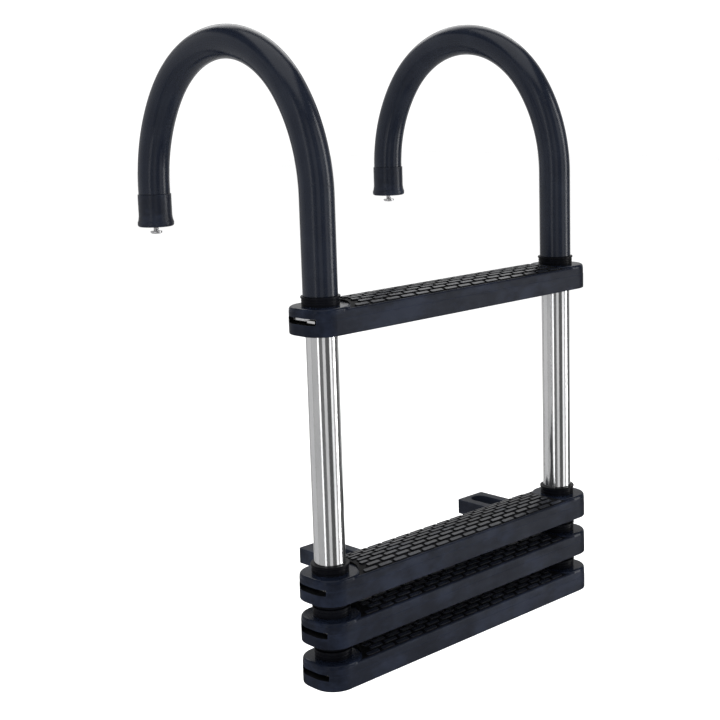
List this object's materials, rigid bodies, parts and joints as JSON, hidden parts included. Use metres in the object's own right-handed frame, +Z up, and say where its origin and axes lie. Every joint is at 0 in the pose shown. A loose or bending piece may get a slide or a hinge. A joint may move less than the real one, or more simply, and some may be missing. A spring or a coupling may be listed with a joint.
{
  "type": "boat boarding ladder",
  "caption": "Telescoping boat boarding ladder with sleeved gunwale hooks on stainless rails, crowned grip-tread steps, sliding lower sections and slotted hull standoffs.",
  "frame": {"origin": "middle of the underside of the lowest step, in the plane of the tubes", "axes": "+X along the steps, +Y towards the boat's hull (the way the hooks reach), +Z up the rails"},
  "size_m": [0.418, 0.32, 0.6619],
  "materials": {
    "stainless": "polished stainless steel",
    "sleeve": "satin black PVC sleeve",
    "cap": "satin black moulded rubber",
    "step_plastic": "matte blue-black moulded plastic",
    "collar_plastic": "near-black moulded nylon",
    "standoff_plastic": "matte blue-black moulded plastic",
    "clip_steel": "plain stainless plate",
    "fastener": "stainless fastener",
    "nylon": "natural nylon"
  },
  "bodies": {
    "frame": {"left_rail_tube": "stainless", "left_hook_sleeve": "sleeve", "left_hook_cap": "cap", "left_end_plug": "nylon", "left_cap_screw": "fastener", "right_rail_tube": "stainless", "right_hook_sleeve": "sleeve", "right_hook_cap": "cap", "right_end_plug": "nylon", "right_cap_screw": "fastener", "top_step": "step_plastic", "second_step": "step_plastic", "top_left_collar": "collar_plastic", "top_right_collar": "collar_plastic", "second_left_collar": "collar_plastic", "second_right_collar": "collar_plastic", "top_clips": "clip_steel", "second_clips": "clip_steel", "left_rail_guide": "collar_plastic", "right_rail_guide": "collar_plastic", "standoff_washers": "collar_plastic", "standoff_bolts": "fastener", "standoff_nuts": "fastener"},
    "middle_section": {"left_middle_tube": "stainless", "right_middle_tube": "stainless", "third_step": "step_plastic", "third_left_collar": "collar_plastic", "third_right_collar": "collar_plastic", "third_clips": "clip_steel", "left_middle_guide": "collar_plastic", "right_middle_guide": "collar_plastic", "left_middle_stop": "nylon", "right_middle_stop": "nylon"},
    "lower_section": {"left_inner_tube": "stainless", "right_inner_tube": "stainless", "fourth_step": "step_plastic", "fourth_left_collar": "collar_plastic", "fourth_right_collar": "collar_plastic", "fourth_clips": "clip_steel", "left_inner_stop": "nylon", "right_inner_stop": "nylon"},
    "left_standoff_arm": {"left_standoff": "standoff_plastic"},
    "right_standoff_arm": {"right_standoff": "standoff_plastic"}
  },
  "joints": [
    {"name": "middle_slide", "type": "slide", "parent": "frame", "child": "middle_section", "axis": [0, 0, -1], "range_m": [0, 0.226]},
    {"name": "lower_slide", "type": "slide", "parent": "middle_section", "child": "lower_section", "axis": [0, 0, -1], "range_m": [0, 0.226]},
    {"name": "left_standoff_slide", "type": "slide", "parent": "frame", "child": "left_standoff_arm", "axis": [0, 1, 0], "range_m": [-0.02, 0.003]},
    {"name": "right_standoff_slide", "type": "slide", "parent": "frame", "child": "right_standoff_arm", "axis": [0, 1, 0], "range_m": [-0.01, 0.013]}
  ]
}
